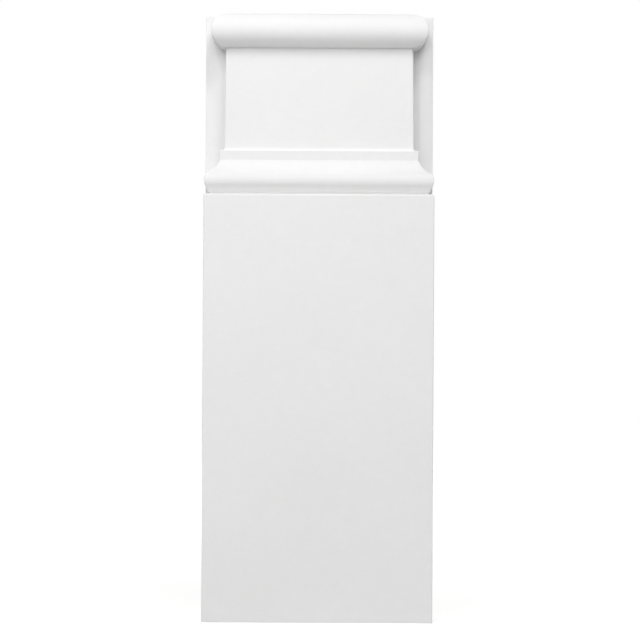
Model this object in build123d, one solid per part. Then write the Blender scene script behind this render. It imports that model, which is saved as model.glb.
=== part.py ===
from build123d import *

import os

# Wall-mounted column pedestal, cast in one piece.
# A tall plinth block carries a splay, a fascia, a bullnose, a cavetto and a listel.
# Above them a small cove leads to a plain neck, and a half-round torus closes the head.
# A quirk, which is a fine sunk groove, parts the torus from the neck.
# The same moulding runs across the front and returns down both sides, mitred at the front corners.
# A plate as wide as the plinth backs the whole height and lies flat on the wall.
# X is right, the front faces -Y, Z is up, and the origin is the middle of the foot.
# All sizes are in millimetres.

# Overall sizes in plan
plinth_width = 200.0
plinth_depth = 56.0
plate_thickness = 12.0

# Heights of the members, from the floor up
plinth_height = 371.4
splay_height = 2.0
fascia_height = 4.2
bullnose_height = 11.4
cavetto_height = 12.3
listel_height = 8.6
cove_height = 2.4
neck_height = 86.3
quirk_height = 1.0
torus_height = 29.5

# How far each member lies behind the plinth's face, on the front and on both sides
splay_foot_setback = 5.2
fascia_foot_setback = 3.4
fascia_head_setback = 1.8
bullnose_setback = 0.3
bullnose_head_setback = 2.2
listel_setback = 13.2
cove_foot_setback = 17.0
neck_setback = 18.2
quirk_setback = 19.4
torus_setback = 5.4

# Radii of the cavetto's hollow and of the softened square edges
cavetto_radius = 20.0
plinth_arris_radius = 1.8
listel_arris_radius = 1.0

# Levels that follow from the heights
splay_head = plinth_height + splay_height
fascia_head = splay_head + fascia_height
bullnose_head = fascia_head + bullnose_height
listel_foot = bullnose_head + cavetto_height
listel_head = listel_foot + listel_height
cove_head = listel_head + cove_height
neck_head = cove_head + neck_height
torus_foot = neck_head + quirk_height
pedestal_head = torus_foot + torus_height

# Planes that follow from the plan
wall_y = plinth_depth / 2
side_x = plinth_width / 2


def moulding_section(reach):
    """The moulding's section, from its inner edge at 0 out to the plinth's face at reach."""
    splay_foot_point = (reach - splay_foot_setback, plinth_height)
    fascia_foot_point = (reach - fascia_foot_setback, splay_head)
    fascia_head_point = (reach - fascia_head_setback, fascia_head)
    bullnose_point = (reach - bullnose_setback, (fascia_head + bullnose_head) / 2)
    bullnose_head_point = (reach - bullnose_head_setback, bullnose_head)
    listel_foot_point = (reach - listel_setback, listel_foot)
    listel_arris_foot_point = (reach - listel_setback, listel_head - listel_arris_radius)
    listel_arris_head_point = (reach - listel_setback - listel_arris_radius, listel_head)
    cove_foot_point = (reach - cove_foot_setback, listel_head)
    cove_head_point = (reach - neck_setback, cove_head)
    neck_head_point = (reach - neck_setback, neck_head)
    quirk_foot_point = (reach - quirk_setback, neck_head)
    quirk_head_point = (reach - quirk_setback, torus_foot)
    torus_foot_point = (reach - neck_setback, torus_foot)
    torus_point = (reach - torus_setback, (torus_foot + pedestal_head) / 2)
    torus_head_point = (reach - neck_setback, pedestal_head)

    plinth = Polyline((0, 0), (reach, 0), (reach, plinth_height), splay_foot_point)
    splay = Line(splay_foot_point, fascia_foot_point)
    fascia = Line(fascia_foot_point, fascia_head_point)
    bullnose = ThreePointArc(fascia_head_point, bullnose_point, bullnose_head_point)
    cavetto = RadiusArc(bullnose_head_point, listel_foot_point, cavetto_radius)
    listel = Line(listel_foot_point, listel_arris_foot_point)
    listel_arris = TangentArc(listel_arris_foot_point, listel_arris_head_point, tangent=(0, 1))
    listel_top = Line(listel_arris_head_point, cove_foot_point)
    cove = TangentArc(cove_head_point, cove_foot_point, tangent=(0, -1))
    neck = Line(cove_head_point, neck_head_point)
    quirk = Polyline(neck_head_point, quirk_foot_point, quirk_head_point, torus_foot_point)
    torus = ThreePointArc(torus_foot_point, torus_point, torus_head_point)
    head = Polyline(torus_head_point, (0, pedestal_head), (0, 0))
    lower = [plinth, splay, fascia, bullnose, cavetto]
    upper = [listel, listel_arris, listel_top, cove, neck, quirk, torus, head]
    return make_face(lower + upper)


def front_run():
    """The front moulding over the full width, with its section's inner edge on the wall."""
    section_plane = Plane(origin=(side_x, wall_y, 0), x_dir=(0, -1, 0), z_dir=(-1, 0, 0))
    return extrude(section_plane * moulding_section(plinth_depth), amount=plinth_width)


def side_runs():
    """The two side mouldings back to back over the full depth."""
    section_plane = Plane(origin=(0, wall_y, 0), x_dir=(1, 0, 0), z_dir=(0, -1, 0))
    right = extrude(section_plane * moulding_section(side_x), amount=plinth_depth)
    return right + mirror(right, about=Plane.YZ)


def plinth_arrises(body):
    """The plinth's two upright front edges and the three edges round its top."""
    uprights = body.edges().filter_by(Axis.Z).filter_by_position(Axis.Z, 0, plinth_height)
    just_below = plinth_height - plinth_arris_radius
    just_above = plinth_height + plinth_arris_radius
    round_top = body.edges().filter_by_position(Axis.Z, just_below, just_above)
    front_top = round_top.filter_by(Axis.X).group_by(Axis.Y)[0]
    side_tops = round_top.filter_by(Axis.Y).sort_by(lambda edge: abs(edge.center().X))[-2:]
    return uprights.group_by(Axis.Y)[0] + front_top + side_tops


def moulded_body():
    """What the front and side runs share is the moulding mitred at its front corners."""
    body = front_run() & side_runs()
    return fillet(plinth_arrises(body), plinth_arris_radius)


def back_plate():
    """The flat plate that lies on the wall over the whole height."""
    flush_with_wall = Pos(0, wall_y, 0)
    plate = Box(
        plinth_width, plate_thickness, pedestal_head, align=(Align.CENTER, Align.MAX, Align.MIN)
    )
    return flush_with_wall * plate


def pedestal():
    """The whole casting, with the moulding and its back plate in one solid."""
    return moulded_body() + back_plate()


os.makedirs("parts", exist_ok=True)
export_step(pedestal(), "parts/pedestal.step")
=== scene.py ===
import math

import bmesh
import bpy
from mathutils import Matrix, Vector


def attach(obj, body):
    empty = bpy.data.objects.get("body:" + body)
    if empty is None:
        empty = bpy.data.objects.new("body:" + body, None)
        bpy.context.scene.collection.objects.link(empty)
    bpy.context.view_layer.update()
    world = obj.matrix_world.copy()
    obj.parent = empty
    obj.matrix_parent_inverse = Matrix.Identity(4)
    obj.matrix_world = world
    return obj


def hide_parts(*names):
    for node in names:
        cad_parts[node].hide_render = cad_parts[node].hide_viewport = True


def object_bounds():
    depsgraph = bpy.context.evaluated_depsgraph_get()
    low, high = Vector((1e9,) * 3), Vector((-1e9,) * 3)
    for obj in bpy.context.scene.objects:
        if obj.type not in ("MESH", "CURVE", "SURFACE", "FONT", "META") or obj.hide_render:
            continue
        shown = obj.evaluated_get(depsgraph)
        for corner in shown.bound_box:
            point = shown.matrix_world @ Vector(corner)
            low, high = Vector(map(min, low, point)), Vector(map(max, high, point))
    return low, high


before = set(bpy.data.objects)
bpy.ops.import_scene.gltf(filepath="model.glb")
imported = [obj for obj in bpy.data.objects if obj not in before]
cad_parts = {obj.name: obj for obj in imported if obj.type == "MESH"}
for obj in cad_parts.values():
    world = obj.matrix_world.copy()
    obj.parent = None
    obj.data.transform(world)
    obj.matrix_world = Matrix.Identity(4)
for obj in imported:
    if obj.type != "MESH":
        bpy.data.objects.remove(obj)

# A wall-mounted column pedestal, cast in white foam in one piece.
# Lengths are in metres, and MM turns a size in millimetres into metres.
# The front faces -Y, Z is up, and the origin is the middle of the foot.
MM = 0.001
cad_low, cad_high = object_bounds()

# Outline of the casting, which follows its CAD box
WALL_Y = cad_high.y
FRONT_Y = cad_low.y
HALF_WIDTH = cad_high.x
HEAD_Z = cad_high.z
PLATE_THICKNESS = 12.0 * MM
PLATE_FRONT_Y = WALL_Y - PLATE_THICKNESS

# Heights of the members
PLINTH_HEIGHT = 371.4 * MM
SPLAY_HEIGHT = 2.0 * MM
FASCIA_HEIGHT = 4.2 * MM
BULLNOSE_HEIGHT = 11.4 * MM
CAVETTO_HEIGHT = 12.3 * MM
LISTEL_HEIGHT = 8.6 * MM
COVE_HEIGHT = 2.4 * MM
QUIRK_HEIGHT = 1.0 * MM
TORUS_HEIGHT = 29.5 * MM

# Levels of the members, counted up from the floor and down from the head
PLINTH_TOP = PLINTH_HEIGHT
SPLAY_TOP = PLINTH_TOP + SPLAY_HEIGHT
FASCIA_TOP = SPLAY_TOP + FASCIA_HEIGHT
BULLNOSE_TOP = FASCIA_TOP + BULLNOSE_HEIGHT
LISTEL_FOOT = BULLNOSE_TOP + CAVETTO_HEIGHT
LISTEL_TOP = LISTEL_FOOT + LISTEL_HEIGHT
COVE_TOP = LISTEL_TOP + COVE_HEIGHT
TORUS_FOOT = HEAD_Z - TORUS_HEIGHT
NECK_TOP = TORUS_FOOT - QUIRK_HEIGHT

# How far each member lies behind the plinth's face, on the front and on both sides
SPLAY_FOOT_SETBACK = 5.2 * MM
FASCIA_FOOT_SETBACK = 3.4 * MM
FASCIA_TOP_SETBACK = 1.8 * MM
BULLNOSE_SETBACK = 0.3 * MM
BULLNOSE_TOP_SETBACK = 2.2 * MM
LISTEL_FOOT_SETBACK = 13.3 * MM
LISTEL_TOP_SETBACK = 12.9 * MM
COVE_FOOT_SETBACK = 16.2 * MM
NECK_FOOT_SETBACK = 17.4 * MM
NECK_TOP_SETBACK = 18.4 * MM
QUIRK_SETBACK = 19.4 * MM
TORUS_EDGE_SETBACK = 18.2 * MM
TORUS_SETBACK = 5.4 * MM
CAVETTO_RADIUS = 20.0 * MM

# Softened edges, as the mould and the primer leave them
PLINTH_TOP_ARRIS = 1.8 * MM
UPRIGHT_ARRIS = 0.9 * MM
SMALL_ARRIS = 1.0 * MM
FINE_ARRIS = 0.45 * MM
QUIRK_ARRIS = 0.25 * MM
PLATE_ARRIS = 0.45 * MM
INNER_FILLET = 0.8 * MM

# The plate's softened edges take up no more than this share of the setback beside them
PLATE_SHARE = 0.4

# How finely the curves are drawn
FULL_TURN = 2 * math.pi
QUARTER_TURN = math.pi / 2
ARC_STEP = math.radians(5)
ARC_LEAST_STEPS = 6
COVE_STEPS = 8
ARRIS_STEPS = 4
MERGE_DISTANCE = 0.0001 * MM

# Tones of the primer film and of the bare foam, the painted shade inside the foam's open pores,
# and plain white
WHITE = (1, 1, 1, 1)
PRIMER_THIN = (0.782, 0.782, 0.78, 1)
PRIMER_THICK = (0.818, 0.818, 0.817, 1)
FOAM_DARK = (0.60, 0.56, 0.46, 1)
FOAM_LIGHT = (0.80, 0.76, 0.66, 1)
FOAM_PORE_PAINTED_SHADE = (0.46, 0.42, 0.33, 1)

# Noise patterns, each with its scale per metre and its detail
PATTERNS = {
    "clouds": (11, 2),
    "film": (130, 3),
    "peel": (420, 2),
    "grain": (1600, 2),
    "cells": (900, 4),
}
PLANE_MARKS_STRETCH = (420, 1, 5)
PLANE_MARKS = (1, 3)
NOISE_MIDDLE = (0.3, 0.7)

# What each tone and relief is blended from
PRIMER_BLEND = {"clouds": 0.4, "film": 0.35, "peel": 0.25}
FOAM_BLEND = {"cells": 0.5, "clouds": 0.35, "marks": 0.15}
BACK_RELIEF_BLEND = {"cells": 0.7, "marks": 0.3}

# Pores of the planed back, where only bubbles above the least chance are open
PORE_SCALE = 110
PORE_LEAST_CHANCE = 0.45
PORE_GROWTH = 0.22

# Sheen, and the strength and depth of each bump
PRIMER_SPECULAR = 0.22
PRIMER_ROUGHNESS = (0.54, 0.66)
BACK_EXTRA_ROUGHNESS = 0.25
PEEL_BUMP = (0.14, 0.1 * MM)
GRAIN_BUMP = (0.12, 0.04 * MM)
BACK_BUMP = (0.5, 0.3 * MM)

# What lies this close to the wall's plane is the back
BACK_MARGIN = 0.1 * MM

# Floor, and its glow that rises with the distance from the object
FLOOR_SIZE = 12
FLOOR_COLOUR = (0.6, 0.6, 0.6, 1)
FLOOR_ROUGHNESS = 0.9
FLOOR_SPECULAR = 0.1
FLOOR_GLOW_REACH = (0.3, 2.5)
FLOOR_GLOW = (0.55, 0.9)

# Even light on the object, and the white that is seen behind it
AMBIENT = 0.1
BACKDROP = 1.0

# Lamps as azimuth, elevation, reach, level aimed at, size and watts
LAMPS = {
    "front_low": (-15, 6, 2.6, 0.3, 0.6, 6.4),
    "front_broad": (0, 17, 2.6, 0.3, 0.6, 12.5),
    "front_small_right": (12, 28, 2.6, 0.3, 0.15, 1.5),
    "front_small_left": (-12, 38, 2.6, 0.3, 0.15, 8.3),
    "front_right_high": (15, 48, 2.6, 0.3, 0.6, 15.2),
    "right_high": (40, 48, 2.6, 0.3, 0.6, 6.6),
    "near_left": (-50, 45, 1.2, 0.45, 0.4, 4.6),
    "back_left": (-140, 15, 2.6, 0.3, 1.0, 18),
    "back_right": (140, 15, 2.6, 0.3, 1.0, 18),
    "back_high": (180, 65, 2.6, 0.3, 1.0, 6.5),
}

# The photograph's frame, its focal length and the point straight ahead of the eye, in pixels
FRAME_PX = 640
FOCAL_PX = 2810
AHEAD_PX = (318.1, 350.5)

# The eye's distance from the torus's flat edge, its height and its roll
EYE_DISTANCE = 2.45
EYE_HEIGHT = 235.7 * MM
ROLL_DEG = -0.31
SENSOR_MM = 36
VIEW_LIMIT = 50


def offset(point, distance, angle):
    """The point that lies at a distance from another, in the direction of an angle."""
    return point[0] + distance * math.cos(angle), point[1] + distance * math.sin(angle)


def direction(start, end):
    """The angle of the line from one point to another."""
    return math.atan2(end[1] - start[1], end[0] - start[0])


def arc(centre, radius, first, turn, steps):
    """Points of an arc that starts at one angle and turns through another, both ends included."""
    return [offset(centre, radius, first + turn * i / steps) for i in range(steps + 1)]


def circle_centre(a, b, c):
    """Centre of the circle through three points."""
    (ax, az), (bx, bz), (cx, cz) = a, b, c
    a2, b2, c2 = ax * ax + az * az, bx * bx + bz * bz, cx * cx + cz * cz
    four_areas = 2 * (ax * (bz - cz) + bx * (cz - az) + cx * (az - bz))
    x = (a2 * (bz - cz) + b2 * (cz - az) + c2 * (az - bz)) / four_areas
    z = (a2 * (cx - bx) + b2 * (ax - cx) + c2 * (bx - ax)) / four_areas
    return x, z


def arc_through(start, end, through):
    """Points on the circle through three points of the section, from start to end."""
    centre = circle_centre(start, through, end)
    first = direction(centre, start)
    halfway = (direction(centre, through) - first) % FULL_TURN
    turn = (direction(centre, end) - first) % FULL_TURN
    if halfway > turn:
        turn -= FULL_TURN
    steps = max(ARC_LEAST_STEPS, round(abs(turn) / ARC_STEP))
    return arc(centre, math.dist(centre, start), first, turn, steps)


def hollow_arc(start, end, radius):
    """Points on a hollow arc of the given radius between two points of the section."""
    sag = radius - math.sqrt(radius**2 - math.dist(start, end) ** 2 / 4)
    middle = ((start[0] + end[0]) / 2, (start[1] + end[1]) / 2)
    return arc_through(start, end, offset(middle, sag, direction(start, end) - QUARTER_TURN))


def cove_arc():
    """The small hollow at the foot of the neck, upright where it meets the neck."""
    across = NECK_FOOT_SETBACK - COVE_FOOT_SETBACK
    radius = (across**2 + COVE_HEIGHT**2) / (2 * across)
    turn = math.asin(COVE_HEIGHT / radius)
    return arc((NECK_FOOT_SETBACK - radius, COVE_TOP), radius, -turn, turn, COVE_STEPS)


def rounded_corner(before, corner, after, radius):
    """A corner of the section as a small arc that touches both its sides."""
    first_side = direction(corner, before)
    opening = (direction(corner, after) - first_side + math.pi) % FULL_TURN - math.pi
    quarter = math.copysign(QUARTER_TURN, opening)
    touch = offset(corner, radius / math.tan(abs(opening) / 2), first_side)
    centre = offset(touch, radius, first_side + quarter)
    return arc(centre, radius, first_side - quarter, opening - 2 * quarter, ARRIS_STEPS)


def moulding_section():
    """The section from the foot to the head, as (setback, height, corner radius in plan)."""
    inside_foot = (HALF_WIDTH, 0.0)
    plinth_foot = (0.0, 0.0)
    plinth_top = (0.0, PLINTH_TOP)
    splay_foot = (SPLAY_FOOT_SETBACK, PLINTH_TOP)
    fascia_foot = (FASCIA_FOOT_SETBACK, SPLAY_TOP)
    fascia_top = (FASCIA_TOP_SETBACK, FASCIA_TOP)
    bullnose_tip = (BULLNOSE_SETBACK, (FASCIA_TOP + BULLNOSE_TOP) / 2)
    bullnose_top = (BULLNOSE_TOP_SETBACK, BULLNOSE_TOP)
    listel_foot = (LISTEL_FOOT_SETBACK, LISTEL_FOOT)
    listel_top = (LISTEL_TOP_SETBACK, LISTEL_TOP)
    cove_foot = (COVE_FOOT_SETBACK, LISTEL_TOP)
    cove_top = (NECK_FOOT_SETBACK, COVE_TOP)
    neck_top = (NECK_TOP_SETBACK, NECK_TOP)
    quirk_foot = (QUIRK_SETBACK, NECK_TOP)
    quirk_top = (QUIRK_SETBACK, TORUS_FOOT)
    torus_foot = (TORUS_EDGE_SETBACK, TORUS_FOOT)
    torus_tip = (TORUS_SETBACK, (TORUS_FOOT + HEAD_Z) / 2)
    torus_top = (TORUS_EDGE_SETBACK, HEAD_Z)
    inside_head = (HALF_WIDTH, HEAD_Z)

    plinth_edge = rounded_corner(plinth_foot, plinth_top, splay_foot, PLINTH_TOP_ARRIS)
    bullnose = arc_through(fascia_top, bullnose_top, bullnose_tip)
    cavetto = hollow_arc(bullnose_top, listel_foot, CAVETTO_RADIUS)
    torus = arc_through(torus_foot, torus_top, torus_tip)

    section = []

    def add(points, plan_radius):
        section.extend((x, z, plan_radius) for x, z in points)

    add(rounded_corner(inside_foot, plinth_foot, plinth_top, FINE_ARRIS), UPRIGHT_ARRIS)
    # The upright edge sharpens as the plinth's top edge turns inwards
    section.extend((x, z, max(UPRIGHT_ARRIS - x, FINE_ARRIS)) for x, z in plinth_edge)
    add([splay_foot], FINE_ARRIS)
    add(rounded_corner(splay_foot, fascia_foot, fascia_top, FINE_ARRIS), SMALL_ARRIS)
    add(bullnose, FINE_ARRIS)
    add(cavetto[1:-1], FINE_ARRIS)
    add(rounded_corner(cavetto[-2], listel_foot, listel_top, FINE_ARRIS), SMALL_ARRIS)
    add(rounded_corner(listel_foot, listel_top, cove_foot, SMALL_ARRIS), SMALL_ARRIS)
    add(cove_arc(), SMALL_ARRIS)
    add(rounded_corner(cove_top, neck_top, quirk_foot, QUIRK_ARRIS), SMALL_ARRIS)
    add([quirk_foot, quirk_top], SMALL_ARRIS)
    add(torus[:-1], SMALL_ARRIS)
    add(rounded_corner(torus[-2], torus_top, inside_head, FINE_ARRIS), SMALL_ARRIS)
    return section


def right_half_ring(setback, plan_radius):
    """Plan outline at one height, from the wall along the right side to the front corner."""
    side = HALF_WIDTH - setback
    front = FRONT_Y + setback
    plate_round = min(PLATE_ARRIS, setback * PLATE_SHARE)
    fillet = min(INNER_FILLET, setback * PLATE_SHARE)
    plate_centre = (HALF_WIDTH - plate_round, PLATE_FRONT_Y + plate_round)
    fillet_centre = (side + fillet, PLATE_FRONT_Y - fillet)
    corner_centre = (side - plan_radius, front + plan_radius)
    points = [(HALF_WIDTH, WALL_Y)]
    points += arc(plate_centre, plate_round, 0, -QUARTER_TURN, ARRIS_STEPS)
    points += arc(fillet_centre, fillet, QUARTER_TURN, QUARTER_TURN, ARRIS_STEPS)
    points += arc(corner_centre, plan_radius, 0, -QUARTER_TURN, ARRIS_STEPS)
    return points


def casting_mesh():
    """One closed mesh: a ring in plan for every point of the section, capped at foot and head."""
    mesh = bpy.data.meshes.new("pedestal_casting")
    bm = bmesh.new()
    rings = []
    for setback, height, plan_radius in moulding_section():
        right = right_half_ring(setback, plan_radius)
        left = [(-x, y) for x, y in reversed(right)]
        rings.append([bm.verts.new((x, y, height)) for x, y in right + left])
    count = len(rings[0])
    for lower, upper in zip(rings, rings[1:]):
        for i in range(count):
            j = (i + 1) % count
            bm.faces.new((lower[j], lower[i], upper[i], upper[j]))
    bm.faces.new(rings[0])
    bm.faces.new(list(reversed(rings[-1])))
    bmesh.ops.remove_doubles(bm, verts=bm.verts, dist=MERGE_DISTANCE)
    bmesh.ops.dissolve_degenerate(bm, edges=bm.edges, dist=MERGE_DISTANCE)
    bmesh.ops.recalc_face_normals(bm, faces=bm.faces)
    for face in bm.faces:
        face.smooth = True
    bm.to_mesh(mesh)
    bm.free()
    return mesh


def new_object(name, data):
    """A new object in the scene."""
    thing = bpy.data.objects.new(name, data)
    bpy.context.scene.collection.objects.link(thing)
    return thing


def new_material(name):
    """A new node material, and its shader."""
    material = bpy.data.materials.new(name)
    material.use_nodes = True
    return material, material.node_tree.nodes["Principled BSDF"]


def own_metres(tree):
    """The object's own coordinates in metres."""
    return tree.nodes.new("ShaderNodeTexCoord").outputs["Object"]


def noise(tree, place, scale, detail):
    """A noise pattern over the given coordinates."""
    pattern = tree.nodes.new("ShaderNodeTexNoise")
    pattern.inputs["Scale"].default_value = scale
    pattern.inputs["Detail"].default_value = detail
    tree.links.new(place, pattern.inputs["Vector"])
    return pattern.outputs["Fac"]


def ranged(tree, value, source, target, interpolation="LINEAR"):
    """Takes a value from its source range to the target range, and holds it there."""
    node = tree.nodes.new("ShaderNodeMapRange")
    node.interpolation_type = interpolation
    for name, number in zip(("From Min", "From Max", "To Min", "To Max"), source + target):
        node.inputs[name].default_value = number
    tree.links.new(value, node.inputs["Value"])
    return node.outputs["Result"]


def math_node(tree, operation, first, second):
    """One sum on two values, each a number or another node's output."""
    node = tree.nodes.new("ShaderNodeMath")
    node.operation = operation
    for socket, value in zip(node.inputs, (first, second)):
        if isinstance(value, (int, float)):
            socket.default_value = value
        else:
            tree.links.new(value, socket)
    return node.outputs[0]


def bumped(tree, height, strength, distance, below=None):
    """A bump from the given height, over another bump where one is given."""
    bump = tree.nodes.new("ShaderNodeBump")
    bump.inputs["Strength"].default_value = strength
    bump.inputs["Distance"].default_value = distance
    tree.links.new(height, bump.inputs["Height"])
    if below is not None:
        tree.links.new(below, bump.inputs["Normal"])
    return bump.outputs["Normal"]


def mixed(tree, factor, first, second):
    """A blend of two colours, each a tone or another node's output."""
    node = tree.nodes.new("ShaderNodeMix")
    node.data_type = "RGBA"
    tree.links.new(factor, node.inputs["Factor"])
    for name, colour in (("A", first), ("B", second)):
        if isinstance(colour, tuple):
            node.inputs[name].default_value = colour
        else:
            tree.links.new(colour, node.inputs[name])
    return node.outputs["Result"]


def blended(tree, patterns, weights):
    """The weighted sum of the patterns that the weights name."""
    total = None
    for name, weight in weights.items():
        part = math_node(tree, "MULTIPLY", patterns[name], weight)
        total = part if total is None else math_node(tree, "ADD", total, part)
    return total


def plane_marks(tree, place):
    """Faint upright streaks, as a planer leaves them on the back."""
    stretched = tree.nodes.new("ShaderNodeMapping")
    stretched.inputs["Scale"].default_value = PLANE_MARKS_STRETCH
    tree.links.new(place, stretched.inputs["Vector"])
    return noise(tree, stretched.outputs["Vector"], *PLANE_MARKS)


def open_pores(tree, place):
    """1 inside scattered round pores of different sizes, where the planer has cut bubbles open."""
    bubbles = tree.nodes.new("ShaderNodeTexVoronoi")
    bubbles.inputs["Scale"].default_value = PORE_SCALE
    tree.links.new(place, bubbles.inputs["Vector"])
    chance = tree.nodes.new("ShaderNodeSeparateColor")
    tree.links.new(bubbles.outputs["Color"], chance.inputs["Color"])
    excess = math_node(tree, "SUBTRACT", chance.outputs[0], PORE_LEAST_CHANCE)
    reach = math_node(tree, "MULTIPLY", excess, PORE_GROWTH)
    return math_node(tree, "LESS_THAN", bubbles.outputs["Distance"], reach)


def back_mask(tree, place):
    """1 on the back, where the object's own Y reaches the wall."""
    split = tree.nodes.new("ShaderNodeSeparateXYZ")
    tree.links.new(place, split.inputs["Vector"])
    return math_node(tree, "GREATER_THAN", split.outputs["Y"], WALL_Y - BACK_MARGIN)


def casting_colour(tree, patterns, pores, back):
    """Primer of slightly uneven tone, and bare foam on the back whose open pores are painted dark
    as shade.
    """
    primer_tone = ranged(tree, blended(tree, patterns, PRIMER_BLEND), NOISE_MIDDLE, (0, 1))
    primer = mixed(tree, primer_tone, PRIMER_THIN, PRIMER_THICK)
    foam_tone = ranged(tree, blended(tree, patterns, FOAM_BLEND), NOISE_MIDDLE, (0, 1))
    # The open pores are painted darker than the foam, as shade inside them
    foam = mixed(tree, pores, mixed(tree, foam_tone, FOAM_DARK, FOAM_LIGHT), FOAM_PORE_PAINTED_SHADE)
    return mixed(tree, back, primer, foam)


def casting_roughness(tree, patterns, back):
    """The primer's slightly uneven sheen, and a duller back."""
    sheen = ranged(tree, patterns["film"], NOISE_MIDDLE, PRIMER_ROUGHNESS)
    return math_node(tree, "ADD", sheen, math_node(tree, "MULTIPLY", back, BACK_EXTRA_ROUGHNESS))


def casting_relief(tree, patterns, pores, back):
    """Orange peel of the spray, its fine grain, and the open cells and pores of the back."""
    normal = bumped(tree, patterns["peel"], *PEEL_BUMP)
    normal = bumped(tree, patterns["grain"], *GRAIN_BUMP, normal)
    relief = math_node(tree, "SUBTRACT", blended(tree, patterns, BACK_RELIEF_BLEND), pores)
    return bumped(tree, math_node(tree, "MULTIPLY", back, relief), *BACK_BUMP, normal)


def primer_material():
    """Matte white factory primer, sprayed on all but the planed foam back."""
    material, shader = new_material("white_primer")
    tree = material.node_tree
    place = own_metres(tree)
    patterns = {name: noise(tree, place, *settings) for name, settings in PATTERNS.items()}
    patterns["marks"] = plane_marks(tree, place)
    pores = open_pores(tree, place)
    back = back_mask(tree, place)
    shader.inputs["Specular IOR Level"].default_value = PRIMER_SPECULAR
    tree.links.new(casting_colour(tree, patterns, pores, back), shader.inputs["Base Color"])
    tree.links.new(casting_roughness(tree, patterns, back), shader.inputs["Roughness"])
    tree.links.new(casting_relief(tree, patterns, pores, back), shader.inputs["Normal"])
    return material


def make_casting():
    """The dressed casting, which stands for the CAD solid."""
    piece = new_object("pedestal_casting", casting_mesh())
    piece.data.materials.append(primer_material())
    weighted = piece.modifiers.new("flat_faces_stay_flat", "WEIGHTED_NORMAL")
    weighted.keep_sharp = True
    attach(piece, "root")
    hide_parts("pedestal")


def seen_directly(tree):
    """1 on the camera's rays and on those that a glossy or clear surface passes on."""
    path = tree.nodes.new("ShaderNodeLightPath").outputs
    glossy = math_node(tree, "MAXIMUM", path["Is Camera Ray"], path["Is Glossy Ray"])
    return math_node(tree, "MAXIMUM", glossy, path["Is Transmission Ray"])


def floor_glow(tree):
    """The glow that keeps the floor white where it is seen, weaker near the object."""
    away = tree.nodes.new("ShaderNodeVectorMath")
    away.operation = "LENGTH"
    tree.links.new(own_metres(tree), away.inputs[0])
    level = ranged(tree, away.outputs["Value"], FLOOR_GLOW_REACH, FLOOR_GLOW, "SMOOTHSTEP")
    glow = tree.nodes.new("ShaderNodeEmission")
    strength = math_node(tree, "MULTIPLY", seen_directly(tree), level)
    tree.links.new(strength, glow.inputs["Strength"])
    return glow.outputs[0]


def make_floor():
    """A plain pale floor that looks white and keeps the object's soft shadow."""
    bpy.ops.mesh.primitive_plane_add(size=FLOOR_SIZE, location=(0, 0, 0))
    floor = bpy.context.active_object
    floor.name = "floor"
    material, shader = new_material("floor_white")
    tree = material.node_tree
    shader.inputs["Base Color"].default_value = FLOOR_COLOUR
    shader.inputs["Roughness"].default_value = FLOOR_ROUGHNESS
    shader.inputs["Specular IOR Level"].default_value = FLOOR_SPECULAR
    both = tree.nodes.new("ShaderNodeAddShader")
    tree.links.new(shader.outputs[0], both.inputs[0])
    tree.links.new(floor_glow(tree), both.inputs[1])
    tree.links.new(both.outputs[0], tree.nodes["Material Output"].inputs["Surface"])
    floor.data.materials.append(material)


def make_world():
    """White where it is seen, and a softer even light on the object."""
    world = bpy.data.worlds.new("studio")
    bpy.context.scene.world = world
    world.use_nodes = True
    tree = world.node_tree
    background = tree.nodes["Background"]
    background.inputs["Color"].default_value = WHITE
    level = ranged(tree, seen_directly(tree), (0, 1), (AMBIENT, BACKDROP))
    tree.links.new(level, background.inputs["Strength"])


def make_lamp(name, azimuth, elevation, reach, level, size, power):
    """A square soft box on an arc round the object, turned to the point at the given level."""
    aim = Vector((0, 0, level))
    round_z, up = math.radians(azimuth), math.radians(elevation)
    across = math.cos(up)
    away = Vector((across * math.sin(round_z), -across * math.cos(round_z), math.sin(up)))
    data = bpy.data.lights.new(name, "AREA")
    data.shape = "SQUARE"
    data.size = size
    data.energy = power
    lamp = new_object(name, data)
    lamp.location = aim + away * reach
    lamp.rotation_mode = "QUATERNION"
    lamp.rotation_quaternion = (-away).to_track_quat("-Z", "Y")


def make_camera():
    """Square to the front, on a long lens, with the photograph's small roll."""
    data = bpy.data.cameras.new("camera")
    data.sensor_width = SENSOR_MM
    data.lens = SENSOR_MM * FOCAL_PX / FRAME_PX
    data.shift_x = (FRAME_PX / 2 - AHEAD_PX[0]) / FRAME_PX
    data.shift_y = (AHEAD_PX[1] - FRAME_PX / 2) / FRAME_PX
    data.clip_end = VIEW_LIMIT
    camera = new_object("camera", data)
    camera.location = (0, FRONT_Y + TORUS_EDGE_SETBACK - EYE_DISTANCE, EYE_HEIGHT)
    camera.rotation_euler = (math.radians(90), math.radians(ROLL_DEG), 0)
    bpy.context.scene.camera = camera


make_camera()
make_casting()
make_floor()
make_world()
for lamp_name, settings in LAMPS.items():
    make_lamp(lamp_name, *settings)
bpy.context.scene.view_settings.view_transform = "Standard"
